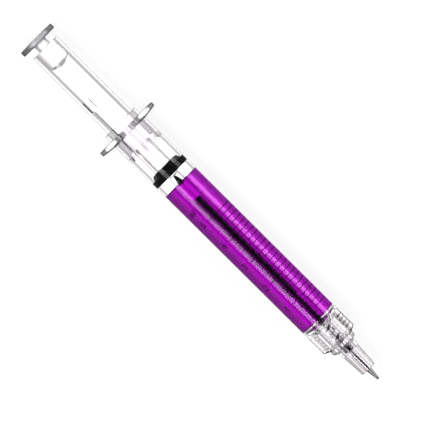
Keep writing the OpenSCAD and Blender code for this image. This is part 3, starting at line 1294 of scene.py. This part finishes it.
@dataclass
class FlangeAndGuide:
    """The finger flange and the guide sleeve behind it.

    Attributes:
        axis: The pen's axis.
        wing_tip: Thickness of a wing at its tip.
        edge: Rounding of the flange's edges.
        sleeve_bore: Bore radius of the guide sleeve.
        teeth: Number of saw teeth on the sleeve's front end.
        tooth: Depth of the teeth.
        key_clock: Clock angle of the sleeve's key.
        key_lane: Distance of the key's middle from the axis.
        key_radius: Radius of the key, which runs free in the plunger's groove.
        bore: Bore radius of the barrel that the sleeve is glued in.
        overlap: How far glued faces reach into each other, so that no air shows between them.
        painted_shade_band: Width of the grey band of painted shade round the wing tips.
    """

    axis: PenAxis
    wing_tip: float = 1.35
    edge: float = 0.45
    sleeve_bore: float = 4.7
    teeth: int = 4
    tooth: float = 1.6
    key_clock: float = 38.0
    key_lane: float = 4.82
    key_radius: float = 0.38
    bore: float = 5.2
    overlap: float = 0.02
    painted_shade_band: float = 0.5

    def build(self) -> None:
        """Builds the flange and the sleeve."""
        self.flange()
        self.sleeve()

    def flange(self) -> None:
        """Builds the flange: a disc with two flats, thinning to rounded wing tips."""
        span = self.axis.span("finger_flange")
        low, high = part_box("finger_flange")
        wing = (high[1] - low[1]) / 2 / MM
        flat = span.radius
        bore = self.axis.span("guide_sleeve").radius - 0.6
        foot = flat + 0.6
        front_tip = span.rear + self.wing_tip

        def flatten(station: float, radius: float, clock: float) -> tuple[float, float]:
            """Pulls a point in to the flat, with the flat's ends rounded.

            Args:
                station: The point's station.
                radius: Its distance from the axis.
                clock: Its clock angle.

            Returns:
                The moved station and radius.
            """
            limit = flat / max(abs(math.cos(math.radians(clock))), 1e-6)
            if radius <= flat:
                return station, radius
            share = (radius - flat) / (wing - flat)
            reach = min(wing, limit)
            return station, flat + (reach - flat) * share if reach > flat else flat

        outline = rounded(
            [
                (span.rear, wing, self.edge),
                (front_tip, wing, self.edge),
                (span.front - 0.1, flat + 1.0, 0.3),
                (span.front + self.overlap, foot, 0.0),
                (span.front + self.overlap, bore, 0.0),
                (span.rear, bore, 0.05),
                (span.rear, foot, 0.0),
            ]
        )
        mesh = turned_mesh(self.axis, outline, segments=160, warp=flatten)
        # The wing tips' outer band takes the grey rim finish: painted shade, not a colour of the plastic.
        dress_beyond(self.axis, mesh, wing - self.painted_shade_band, (span.rear, span.front))
        piece_from(mesh, "finger_flange_piece", [CLEAR, PAINTED_SHADE_RIM], "barrel", ["finger_flange"], 50.0)

    def sleeve(self) -> None:
        """Builds the guide sleeve: collar, thin sleeve with saw teeth at its front, and its key."""
        span = self.axis.span("guide_sleeve")
        inside = self.bore + self.overlap
        collar_front = self.axis.span("finger_flange").rear
        step = 360.0 / self.teeth

        def saw(station: float, radius: float, clock: float) -> tuple[float, float]:
            """Slopes the front end round each tooth.

            Args:
                station: The point's station.
                radius: Its distance from the axis.
                clock: Its clock angle.

            Returns:
                The moved station and radius.
            """
            if station < span.front - 0.3:
                return station, radius
            return station - self.tooth * ((clock % step) / step), radius

        outline = rounded(
            [
                (span.rear, span.radius, 0.3),
                (collar_front + self.overlap, span.radius, 0.15),
                (collar_front + self.overlap, inside, 0.0),
                (span.front, inside, 0.08),
                (span.front, self.sleeve_bore, 0.08),
                (span.rear, self.sleeve_bore, 0.2),
            ]
        )
        mesh = turned_mesh(self.axis, outline, segments=128, warp=saw)
        piece_from(mesh, "guide_sleeve_piece", [CLEAR], "barrel", ["guide_sleeve"])
        reach = (span.rear + 0.1, collar_front)
        key = rod(self.axis, reach, self.key_lane, self.key_clock, self.key_radius)
        piece_from(key, "guide_sleeve_key", [CLEAR], "barrel")


@dataclass
class NoseCone:
    """The clear nose cone: threaded spigot, rounded shoulder and tapered nozzle.

    Attributes:
        axis: The pen's axis.
        shoulder_rear: Station of the shoulder's rear face.
        shoulder_front: Station where the nozzle starts.
        shoulder: Radius of the shoulder.
        nozzle: Radius of the nozzle at its rear and at its front.
        root: Radius of the thread's root.
        crest: Radius of the thread's crest, tight in the barrel.
        pitch: Pitch of the thread.
        spring_bore: Radius of the spring's bore, behind and inside the nozzle.
        tip_bore: Radius of the bore round the metal tip.
        seat: Station of the spring's seat.
        run_out: Length over which the thread's groove fades in and out.
    """

    axis: PenAxis
    shoulder_rear: float = 122.8
    shoulder_front: float = 124.8
    shoulder: float = 4.35
    nozzle: tuple[float, float] = (2.95, 2.4)
    root: float = 4.0
    crest: float = 4.07
    pitch: float = 1.25
    spring_bore: tuple[float, float] = (2.2, 1.95)
    tip_bore: float = 1.03
    seat: float = 126.75
    run_out: float = 0.8

    def build(self) -> None:
        """Builds the nose cone with its helical thread."""
        span = self.axis.span("nose_cone")
        thread_front = self.shoulder_rear - 0.7
        rows = 96
        thread_rear = span.rear + 0.2
        threaded: Outline = [(thread_rear - 0.05, self.root)]
        for k in range(rows + 1):
            threaded.append((thread_rear + (thread_front - thread_rear) * k / rows, self.crest))

        def wound(station: float, radius: float, clock: float) -> tuple[float, float]:
            """Sinks a helical groove in the spigot.

            Args:
                station: The point's station.
                radius: Its distance from the axis.
                clock: Its clock angle.

            Returns:
                The moved station and radius.
            """
            if abs(radius - self.crest) > TINY_MM:
                return station, radius
            turn = (station - span.rear) / self.pitch - clock / 360.0
            groove = ((1 + math.cos(2 * math.pi * turn)) / 2) ** 3
            fade_in = (station - span.rear) / self.run_out
            fade_out = max(0.0, thread_front - station) / self.run_out
            fade = min(1.0, fade_in, fade_out)
            return station, radius - (self.crest - self.root) * (1 - fade + fade * groove)

        outline = [(span.rear, self.root - 0.15), *threaded]
        outline += rounded(
            [
                (self.shoulder_rear, self.root, 0.1),
                (self.shoulder_rear, self.shoulder, 0.25),
                (self.shoulder_front - 0.6, self.shoulder, 1.1),
                (self.shoulder_front, 3.2, 0.25),
                (self.shoulder_front + 0.1, self.nozzle[0], 0.15),
                (span.front, self.nozzle[1], 0.45),
                (span.front, self.tip_bore, 0.1),
                (self.seat, self.tip_bore, 0.0),
                (self.seat, self.spring_bore[1], 0.15),
                (self.shoulder_rear, self.spring_bore[1], 0.1),
                (self.shoulder_rear - 0.8, self.spring_bore[0], 0.1),
                (span.rear, self.spring_bore[0], 0.15),
            ]
        )
        mesh = turned_mesh(self.axis, outline, segments=112, warp=wound)
        piece_from(mesh, "nose_cone_piece", [CLEAR_NOSE], "barrel", ["nose_cone"])


# ---------------------------------------------------------------- the plunger and the click mechanism


@dataclass
class Plunger:
    """The clear plunger: a tube with a key groove and a latch pad, plugged by the thumb press.

    Attributes:
        axis: The pen's axis.
        bore: Bore radius of the tube.
        key_clock: Clock angle of the groove and the pad.
        groove: Distance of the groove's middle from the axis, and its radius.
        groove_rear: Station where the groove starts.
        pad: Length and width of the latch pad.
        gap: Distance from the pad's front to the groove.
        line: Width and depth of the fine line cut round the pad.
        disc: Thickness of the thumb disc.
        neck: Radius of the neck.
        spigot_end: Station of the spigot's rounded end.
        clear_middle: How far beyond the neck the disc's rim of painted shade starts.
    """

    axis: PenAxis
    bore: float = 3.45
    key_clock: float = 38.0
    groove: tuple[float, float] = (4.85, 0.5)
    groove_rear: float = 26.9
    pad: tuple[float, float] = (3.9, 2.8)
    gap: float = 0.4
    line: tuple[float, float] = (0.22, 0.5)
    disc: float = 1.5
    neck: float = 2.0
    spigot_end: float = 10.9
    clear_middle: float = 0.8

    def build(self) -> None:
        """Builds the tube and the thumb press."""
        self.tube()
        self.thumb_press()

    def tube(self) -> None:
        """Builds the plunger tube and cuts its groove and the line round its latch pad."""
        span = self.axis.span("plunger_tube")
        outline = rounded(
            [
                (span.rear, span.radius, 0.3),
                (span.front, span.radius, 0.15),
                (span.front, self.bore, 0.15),
                (span.rear, self.bore, 0.05),
            ]
        )
        mesh = turned_mesh(self.axis, outline, segments=112)
        tube = piece_from(mesh, "plunger_tube_piece", [CLEAR], "plunger", ["plunger_tube"])
        length, across = self.pad
        lane, groove_radius = self.groove
        rear = self.groove_rear - self.gap - length
        groove = rod(self.axis, (self.groove_rear, span.front + 2), lane, self.key_clock, groove_radius)
        half = math.degrees((across / 2) / span.radius)
        floor = span.radius - self.line[1]
        width = self.line[0]
        clear_of_tube = span.radius + 0.5
        sides = [
            block(self.axis, (rear, rear + length), (floor, clear_of_tube), self.key_clock + turn, width)
            for turn in (-half, half)
        ]
        end = (rear + length - width, rear + length)
        depths = (floor - 0.45, clear_of_tube)
        across_cut = block(self.axis, end, depths, self.key_clock, across + width)
        cut_away(tube, [groove, *sides, across_cut])

    def thumb_press(self) -> None:
        """Builds the thumb disc, its neck and the spigot inside the tube."""
        span = self.axis.span("thumb_press")
        tube_rear = self.axis.span("plunger_tube").rear
        spigot = self.bore - 0.02
        outline = rounded(
            [
                (span.rear, 0.0, 0.0),
                (span.rear, span.radius, 0.3),
                (self.disc, span.radius, 0.3),
                (self.disc, self.neck + 0.1, 0.5),
                (tube_rear, self.neck, 0.2),
                (tube_rear, spigot, 0.05),
                (self.spigot_end - 1.2, spigot, 0.8),
                (self.spigot_end, 1.0, 0.6),
                (self.spigot_end, 0.0, 0.0),
            ]
        )
        mesh = turned_mesh(self.axis, outline, 112)
        # The disc's rim beyond the clear middle takes the grey rim finish: painted shade, not a colour of
        # the plastic.
        dress_beyond(self.axis, mesh, self.neck + self.clear_middle, (span.rear, self.disc))
        piece_from(mesh, "thumb_press_piece", [CLEAR, PAINTED_SHADE_RIM], "plunger", ["thumb_press"])


@dataclass
class ClickMechanism:
    """The rotor and the push pin that carry the plunger's stroke to the refill.

    Attributes:
        axis: The pen's axis.
        tube: Outer and bore radius of the rotor's tube.
        fins: Number of fins.
        fin: Length and width of a fin.
        fin_reach: Radius of the fins.
        fin_slope: How far a fin's rear end slopes.
        pin: Radius of the push pin.
        head: Length of the pin's head in the rotor.
    """

    axis: PenAxis
    tube: tuple[float, float] = (3.5, 2.2)
    fins: int = 4
    fin: tuple[float, float] = (3.0, 1.2)
    fin_reach: float = 4.55
    fin_slope: float = 0.8
    pin: float = 1.4
    head: float = 4.0

    def build(self) -> None:
        """Builds the rotor with its fins, and the push pin."""
        span = self.axis.span("cam_rotor")
        outer, bore = self.tube
        outline = rounded(
            [
                (span.rear, outer, 0.15),
                (span.front, outer, 0.2),
                (span.front, bore, 0.1),
                (span.rear, bore, 0.15),
            ]
        )
        mesh = turned_mesh(self.axis, outline, 80)
        piece_from(mesh, "cam_rotor_tube", [CLEAR], "rotor", ["cam_rotor"])
        rear = span.rear + 0.2
        root = outer - 0.2
        for i in range(self.fins):
            fin = block(
                self.axis,
                (rear, rear + self.fin[0]),
                (root, self.fin_reach),
                360.0 * i / self.fins,
                self.fin[1],
            )
            self.slope(fin, rear)
            bmesh.ops.bevel(fin, geom=fin.edges[:], offset=0.08 * MM, segments=2, affect="EDGES")
            piece_from(fin, f"cam_rotor_fin_{i + 1}", [CLEAR], "rotor")
        self.push_pin(bore - 0.02)

    def slope(self, fin: bmesh.types.BMesh, rear: float) -> None:
        """Slopes a fin's rear end to match the sleeve's teeth.

        Args:
            fin: The fin's mesh.
            rear: Station of its rear end.
        """
        rear_x = self.axis.point(rear, 0.0, 0.0).x
        ends = [v for v in fin.verts if abs(v.co.x - rear_x) < NEAR_MM * MM]
        ends.sort(key=lambda v: (v.co.y, v.co.z))
        for vert in ends[len(ends) // 2 :]:
            vert.co.x += self.fin_slope * MM

    def push_pin(self, head_radius: float) -> None:
        """Builds the push pin.

        Args:
            head_radius: Radius of the head that plugs the rotor.
        """
        span = self.axis.span("push_pin")
        outline = rounded(
            [
                (span.rear, 0.0, 0.0),
                (span.rear, head_radius, 0.15),
                (span.rear + self.head, head_radius, 0.15),
                (span.rear + self.head, self.pin, 0.1),
                (span.front, self.pin, 0.3),
                (span.front, 0.0, 0.0),
            ]
        )
        mesh = turned_mesh(self.axis, outline, 64)
        piece_from(mesh, "push_pin_piece", [CLEAR], "rotor", ["push_pin"])


# ---------------------------------------------------------------- the refill and its spring


@dataclass
class Refill:
    """The refill: tube, tail plug, grease, ink, tip holder, metal tip and ball.

    Attributes:
        axis: The pen's axis.
        bore: Bore radius of the refill tube.
        holder_bore: Bore radius of the tip holder.
        wetting: How far the ink reaches into the walls that it wets.
        channel_s: Station where the ink's channel starts to narrow.
        narrowing: Length over which it narrows.
        channel: Radius of the narrow channel that leads to the tip.
        cone_rear: Station where the metal tip's cone begins.
        rim: Radius of the metal rim that holds the ball.
    """

    axis: PenAxis
    bore: float = 1.0
    holder_bore: float = 0.55
    wetting: float = 0.02
    channel_s: float = 114.5
    narrowing: float = 1.5
    channel: float = 0.06
    cone_rear: float = 133.3
    rim: float = 0.4

    def build(self) -> None:
        """Builds every piece of the refill."""
        self.tube()
        self.holder()
        self.tail()
        self.grease()
        self.ink()
        self.metal_tip()
        self.ball()

    def tube(self) -> None:
        """Builds the plain tube that holds the ink."""
        span = self.axis.span("refill_tube")
        outline = rounded(
            [
                (span.rear, span.radius, 0.08),
                (span.front, span.radius, 0.08),
                (span.front, self.bore, 0.05),
                (span.rear, self.bore, 0.05),
            ]
        )
        mesh = turned_mesh(self.axis, outline, 64)
        piece_from(mesh, "refill_tube_piece", [TUBING], "refill", ["refill_tube"])

    def holder(self) -> None:
        """Builds the tip holder; its bore narrows to a fine channel and opens for the metal tip's shank."""
        span = self.axis.span("tip_holder")
        shank = self.axis.span("metal_tip").rear
        outline = rounded(
            [
                (span.rear, span.radius, 0.08),
                (span.front, span.radius, 0.08),
                (span.front, self.holder_bore, 0.05),
                (shank - 0.05, self.holder_bore, 0.05),
                (shank - 0.4, self.channel, 0.05),
                (self.channel_s + self.narrowing, self.channel, 0.05),
                (self.channel_s, self.holder_bore, 0.05),
                (span.rear, self.holder_bore, 0.05),
            ]
        )
        mesh = turned_mesh(self.axis, outline, 64)
        piece_from(mesh, "tip_holder_piece", [HOLDER], "refill", ["tip_holder"])

    def tail(self) -> None:
        """Builds the black plug in the refill's rear end, drawn to a blunt point."""
        span = self.axis.span("tail_plug")
        tube_rear = self.axis.span("refill_tube").rear
        outline = rounded(
            [
                (span.rear, 0.0, 0.0),
                (span.rear, 0.35, 0.15),
                (tube_rear - 0.9, 0.8, 0.4),
                (tube_rear - 0.1, self.bore + 0.15, 0.1),
                (tube_rear - 0.02, self.bore + 0.15, 0.05),
                (tube_rear - 0.02, self.bore - 0.02, 0.0),
                (tube_rear + 0.3, self.bore - 0.02, 0.1),
                (tube_rear + 0.3, 0.0, 0.0),
            ]
        )
        mesh = turned_mesh(self.axis, outline, 48)
        piece_from(mesh, "tail_plug_piece", [NYLON], "refill", ["tail_plug"])

    def grease(self) -> None:
        """Builds the clear grease that fills the tube from the tail plug to the ink."""
        span = self.axis.span("ink_follower")
        rear = self.axis.span("refill_tube").rear + 0.3
        wall = self.bore + self.wetting
        outline = [(rear + 0.2, 0.0), (rear + 0.15, 0.4 * wall), (rear, wall)]
        outline += [(span.front, wall), (span.front, 0.0)]
        mesh = turned_mesh(self.axis, outline, 48)
        piece_from(mesh, "ink_follower_piece", [GREASE], "refill", ["ink_follower"])

    def ink(self) -> None:
        """Builds the ink in the refill tube and on through the tip holder."""
        span = self.axis.span("ink_column")
        holder_rear = self.axis.span("tip_holder").rear
        wide = self.bore + self.wetting
        thin = self.holder_bore + self.wetting
        outline = [
            (span.rear + 0.05, 0.0),
            (span.rear, wide),
            (holder_rear - 0.05, wide),
            (holder_rear - 0.05, thin),
            (self.channel_s, thin),
            (self.channel_s + self.narrowing, self.channel + self.wetting),
            (span.front, self.channel + self.wetting),
            (span.front, 0.0),
        ]
        mesh = turned_mesh(self.axis, outline, 48)
        piece_from(mesh, "ink_column_piece", [PASTE], "refill", ["ink_column"])

    def metal_tip(self) -> None:
        """Builds the turned metal tip: shank, body, a small step and the cone."""
        span = self.axis.span("metal_tip")
        shank_front = self.axis.span("tip_holder").front
        outline = rounded(
            [
                (span.rear, 0.0, 0.0),
                (span.rear, self.holder_bore - 0.01, 0.05),
                (shank_front + 0.02, self.holder_bore - 0.01, 0.0),
                (shank_front + 0.02, span.radius, 0.08),
                (shank_front + 1.3, span.radius, 0.05),
                (shank_front + 1.4, span.radius - 0.08, 0.05),
                (shank_front + 1.7, span.radius - 0.08, 0.05),
                (shank_front + 1.8, span.radius, 0.05),
                (self.cone_rear, span.radius, 0.1),
                (span.front - 0.45, self.rim + 0.03, 0.05),
                (span.front, self.rim - 0.03, 0.05),
                (span.front, 0.0, 0.0),
            ]
        )
        mesh = turned_mesh(self.axis, outline, 64)
        piece_from(mesh, "metal_tip_piece", [NICKEL], "refill", ["metal_tip"])

    def ball(self) -> None:
        """Builds the writing ball, half sunk in its rim."""
        span = self.axis.span("writing_ball")
        steps = 16
        middle = (span.rear + span.front) / 2
        angles = [math.pi * k / steps for k in range(steps + 1)]
        outline = [(middle - span.radius * math.cos(a), span.radius * math.sin(a)) for a in angles]
        mesh = turned_mesh(self.axis, outline, 32)
        piece_from(mesh, "writing_ball_piece", [CARBIDE], "ball", ["writing_ball"])


@dataclass
class ReturnSpring:
    """The compression spring between the refill's shoulder and the nose cone's seat.

    Attributes:
        axis: The pen's axis.
        wire: Radius of the wire.
        turns: Number of turns.
        closed: Number of closed turns at the rear and at the front.
        seat: Station of the front seat.
        clearance: Gap between closed turns.
    """

    axis: PenAxis
    wire: float = 0.2
    turns: int = 14
    closed: tuple[int, int] = (1, 4)
    seat: float = 126.7
    clearance: float = 0.02

    def build(self) -> None:
        """Builds the spring's wire."""
        span = self.axis.span("return_spring")
        coil = span.radius - self.wire
        per_turn = 36
        sides = 10
        count = self.turns * per_turn
        mesh = bmesh.new()
        rows = []
        for k in range(count + 1):
            turn = k / per_turn
            station = span.rear + self.wire + self.height(turn, self.seat - span.rear - 2 * self.wire)
            row = []
            for j in range(sides):
                around = 2 * math.pi * j / sides
                row.append(
                    mesh.verts.new(
                        self.axis.point(
                            station + self.wire * math.sin(around),
                            coil + self.wire * math.cos(around),
                            360.0 * turn,
                        )
                    )
                )
            rows.append(row)
        for a, b in zip(rows, rows[1:]):
            for j in range(sides):
                n = (j + 1) % sides
                mesh.faces.new([a[j], a[n], b[n], b[j]])
        mesh.faces.new(rows[0])
        mesh.faces.new(rows[-1])
        bmesh.ops.recalc_face_normals(mesh, faces=mesh.faces[:])
        data = bpy.data.meshes.new("return_spring_wire")
        mesh.to_mesh(data)
        mesh.free()
        for polygon in data.polygons:
            polygon.use_smooth = True
        data.materials.append(WIRE.material())
        spring = bpy.data.objects.new("return_spring_wire", data)
        bpy.context.scene.collection.objects.link(spring)
        tuple(self.axis.point(span.rear, 0.0, 0.0))
        tuple(self.axis.point(self.seat, 0.0, 0.0))
        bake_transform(spring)
        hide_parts("return_spring")
        log.info("return_spring_wire: %d faces, gives between refill and barrel", len(data.polygons))

    def height(self, turn: float, length: float) -> float:
        """Gives how far along the spring its wire is.

        Args:
            turn: How many turns from the rear end.
            length: The spring's length between the middles of its end turns.

        Returns:
            Millimetres from the rear end turn's middle.
        """
        tight = 2 * self.wire + self.clearance
        rear, front = self.closed
        open_pitch = (length - (rear + front) * tight) / (self.turns - rear - front)
        if turn < rear:
            return turn * tight
        if turn > self.turns - front:
            return length - (self.turns - turn) * tight
        return rear * tight + (turn - rear) * open_pitch


# ---------------------------------------------------------------- the setting


@dataclass(frozen=True)
class StripLight:
    """A strip softbox that runs along the pen.

    Attributes:
        name: The light's name.
        clock: Clock angle at which it hangs round the pen.
        width: Its width round the pen, in millimetres.
        radiance: Its brightness, where the lit table is about 1.
        length: Its length along the pen, in millimetres.
        reach: Its distance from the pen, in millimetres.
    """

    name: str
    clock: float
    width: float
    radiance: float
    length: float = 360.0
    reach: float = 350.0


@dataclass
class Studio:
    """The pale floor, the soft lights and the camera.

    Attributes:
        axis: The pen's axis.
        aim: Where the camera looks, in millimetres from the middle of the pen along X and Y.
        distance: From the camera to the pen's axis, in millimetres.
        width: Width of the view at the pen's axis, in millimetres.
        lean: How far the camera leans towards the thumb press, in degrees.
        roll: How far the pen's axis dips to the lower right in the view, in degrees.
        exposure: Stops that the view is opened by.
        gamma: The view's gamma; under 1 deepens the dark tones.
        mirrored: Heights from -1 to 1 and the surround's brightness at each, as shiny surfaces mirror it.
        seen_through: The same, as it is seen through clear plastic: white below, grey to the sides.
        strips: The strip softboxes.
        bounces: How often light may bounce in the clear pieces.
    """

    axis: PenAxis
    aim: tuple[float, float] = (2.4, 0.29)
    distance: float = 1600.0
    width: float = 122.2
    lean: float = 1.5
    roll: float = 44.8
    exposure: float = 0.4
    gamma: float = 0.7
    mirrored: tuple[tuple[float, float], ...] = ((-1.0, 0.25), (0.0, 0.25), (0.3, 0.15))
    seen_through: tuple[tuple[float, float], ...] = (
        (-1.0, 1.55),
        (-0.95, 1.38),
        (-0.92, 0.96),
        (-0.87, 0.68),
        (-0.64, 0.64),
        (-0.5, 0.5),
        (-0.38, 0.6),
        (-0.25, 1.1),
        (0.1, 1.1),
        (0.35, 0.3),
        (0.6, 0.15),
    )
    strips: tuple[StripLight, ...] = (
        StripLight("strip_front", 30.4, 160.0, 2.0),
        StripLight("strip_back", -63.0, 160.0, 1.8),
    )
    bounces: int = 32

    def build(self) -> None:
        """Sets the floor, lights, world and camera."""
        self.floor()
        self.world()
        self.lights()
        self.camera()
        scene = bpy.context.scene
        scene.view_settings.view_transform = "Standard"
        scene.view_settings.exposure = self.exposure
        scene.view_settings.gamma = self.gamma
        scene.cycles.max_bounces = self.bounces
        scene.cycles.transmission_bounces = self.bounces
        scene.cycles.transparent_max_bounces = self.bounces

    def floor(self) -> None:
        """Lays a wide lit table under the pen.

        The table doesn't show in shiny surfaces or through clear plastic; the surround does. An even table
        would leave the clear walls without the dark lines that make them readable.
        """
        mesh = bmesh.new()
        bmesh.ops.create_grid(mesh, x_segments=2, y_segments=2, size=3.0)
        data = bpy.data.meshes.new("floor")
        mesh.to_mesh(data)
        mesh.free()
        data.materials.append(TABLE.material())
        floor = bpy.data.objects.new("floor", data)
        floor.location.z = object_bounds()[0][2] - 0.05 * MM
        bpy.context.scene.collection.objects.link(floor)
        floor.visible_glossy = False
        floor.visible_transmission = False
        floor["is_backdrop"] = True

    def world(self) -> None:
        """Surrounds the scene with grey flags, and with a white backdrop far below the table."""
        world = bpy.data.worlds.new("dome")
        world.use_nodes = True
        tree = world.node_tree
        tree.nodes.clear()
        where = add_node(tree, "ShaderNodeTexCoord")
        split = add_node(tree, "ShaderNodeSeparateXYZ", links={"Vector": where.outputs["Generated"]})
        height = add_node(
            tree,
            "ShaderNodeMapRange",
            values={"From Min": -1.0, "From Max": 1.0},
            links={"Value": split.outputs["Z"]},
        )
        mirrored = self.ramp(tree, height.outputs["Result"], self.mirrored)
        through = self.ramp(tree, height.outputs["Result"], self.seen_through)
        path = add_node(tree, "ShaderNodeLightPath")
        both = add_node(tree, "ShaderNodeMix", links={"Factor": path.outputs["Is Transmission Ray"]})
        tree.links.new(mirrored, both.inputs["A"])
        tree.links.new(through, both.inputs["B"])
        dome = add_node(tree, "ShaderNodeBackground", links={"Strength": both.outputs["Result"]})
        add_node(tree, "ShaderNodeOutputWorld", links={"Surface": dome.outputs["Background"]})
        bpy.context.scene.world = world

    def ramp(self, tree: bpy.types.NodeTree, height: Any, stops: Sequence[tuple[float, float]]) -> Any:
        """Gives the surround's brightness at each height.

        Args:
            tree: The world's node tree.
            height: The socket that gives the height, from 0 straight down to 1 straight up.
            stops: Heights from -1 to 1, and the brightness at each.

        Returns:
            The brightness socket.
        """
        node = add_node(tree, "ShaderNodeValToRGB", links={"Fac": height})
        elements = node.color_ramp.elements
        while len(elements) < len(stops):
            elements.new(0.5)
        for element, (place, value) in zip(elements, stops):
            element.position = (place + 1) / 2
            element.color = (value, value, value, 1.0)
        return node.outputs["Color"]

    def lights(self) -> None:
        """Hangs the strip softboxes along the pen, on both sides of the camera."""
        for strip in self.strips:
            lamp = bpy.data.lights.new(strip.name, "AREA")
            lamp.shape = "RECTANGLE"
            lamp.size = strip.length * MM
            lamp.size_y = strip.width * MM
            # A lamp's brightness is its power over four times its area.
            lamp.energy = strip.radiance * 4 * lamp.size * lamp.size_y
            holder = bpy.data.objects.new(strip.name, lamp)
            turn = math.radians(strip.clock)
            holder.location = Vector(
                (
                    0.0,
                    -math.sin(turn) * strip.reach * MM,
                    self.axis.height + math.cos(turn) * strip.reach * MM,
                )
            )
            holder.rotation_euler = Euler((turn, 0.0, 0.0))
            bpy.context.scene.collection.objects.link(holder)

    def camera(self) -> None:
        """Puts the camera over the pen, with the pen running from upper left to lower right."""
        lens = bpy.data.cameras.new("camera")
        lens.sensor_width = 36.0
        lens.lens = lens.sensor_width * self.distance / self.width
        lens.clip_start = 0.01
        lens.dof.use_dof = False
        holder = bpy.data.objects.new("camera", lens)
        low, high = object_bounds()
        target = Vector(
            (
                (low[0] + high[0]) / 2 + self.aim[0] * MM,
                self.aim[1] * MM,
                self.axis.height,
            )
        )
        lean = math.radians(self.lean)
        back = Vector((-math.sin(lean), 0.0, math.cos(lean)))
        roll = math.radians(self.roll)
        along = Vector((math.cos(lean), 0.0, math.sin(lean)))
        side = back.cross(along)
        right = along * math.cos(roll) + side * math.sin(roll)
        up = back.cross(right)
        holder.matrix_world = Matrix(
            (
                (right.x, up.x, back.x, target.x + back.x * self.distance * MM),
                (right.y, up.y, back.y, target.y + back.y * self.distance * MM),
                (right.z, up.z, back.z, target.z + back.z * self.distance * MM),
                (0.0, 0.0, 0.0, 1.0),
            )
        )
        bpy.context.scene.collection.objects.link(holder)
        bpy.context.scene.camera = holder


def main() -> None:
    """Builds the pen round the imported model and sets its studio."""
    logging.basicConfig(level=logging.INFO, format="%(name)s: %(message)s")
    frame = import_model()
    log.info("packed model: %s", frame)
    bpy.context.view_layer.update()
    axis = PenAxis.from_frame()
    for part in (
        Barrel(axis),
        PrintedScale(axis),
        FlangeAndGuide(axis),
        NoseCone(axis),
        Plunger(axis),
        ClickMechanism(axis),
        Refill(axis),
        ReturnSpring(axis),
        Studio(axis),
    ):
        part.build()


if __name__ == "__main__":
    main()
